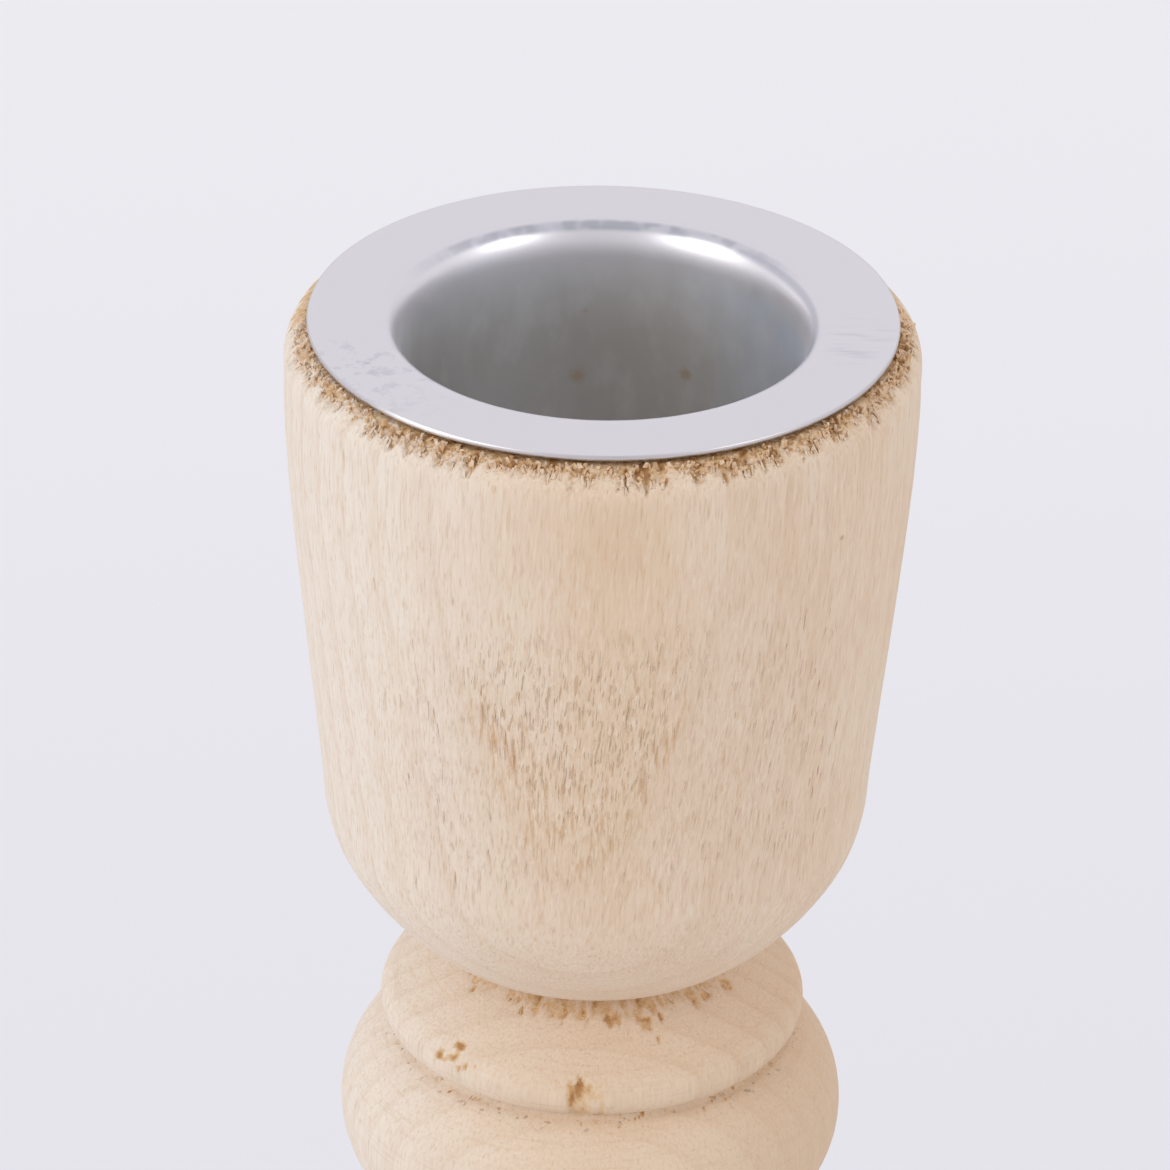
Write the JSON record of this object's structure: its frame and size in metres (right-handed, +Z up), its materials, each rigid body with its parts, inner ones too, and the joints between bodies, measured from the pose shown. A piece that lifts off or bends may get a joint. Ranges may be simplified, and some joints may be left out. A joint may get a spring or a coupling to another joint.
{
  "type": "turned wooden candlestick",
  "caption": "Raw turned wooden candlestick with a tulip cup, ring and bead, round foot, and a lift-out pressed aluminium insert that holds a taper candle.",
  "frame": {"origin": "centre of the ring that the foot stands on, in the plane of the table", "axes": "+Z up along the turning axis, towards the candle; -Y faces the picture's camera; +X to the right in that view"},
  "size_m": [0.07, 0.07, 0.1502],
  "materials": {
    "raw_wood": "raw turned wood, no coating, grain along the axis, torn fibres at edges and end grain",
    "insert_aluminium": "satin, pressed from thin sheet, faint scuffs",
    "screw_steel": "zinc plated"
  },
  "bodies": {
    "stick": {"base": "raw_wood", "column": "raw_wood", "base_screw": "screw_steel"},
    "insert": {"candle_insert": "insert_aluminium"}
  },
  "joints": [
    {"name": "insert_lift", "type": "slide", "parent": "stick", "child": "insert", "axis": [0, 0, 1], "range_m": [0, 0.025]}
  ]
}
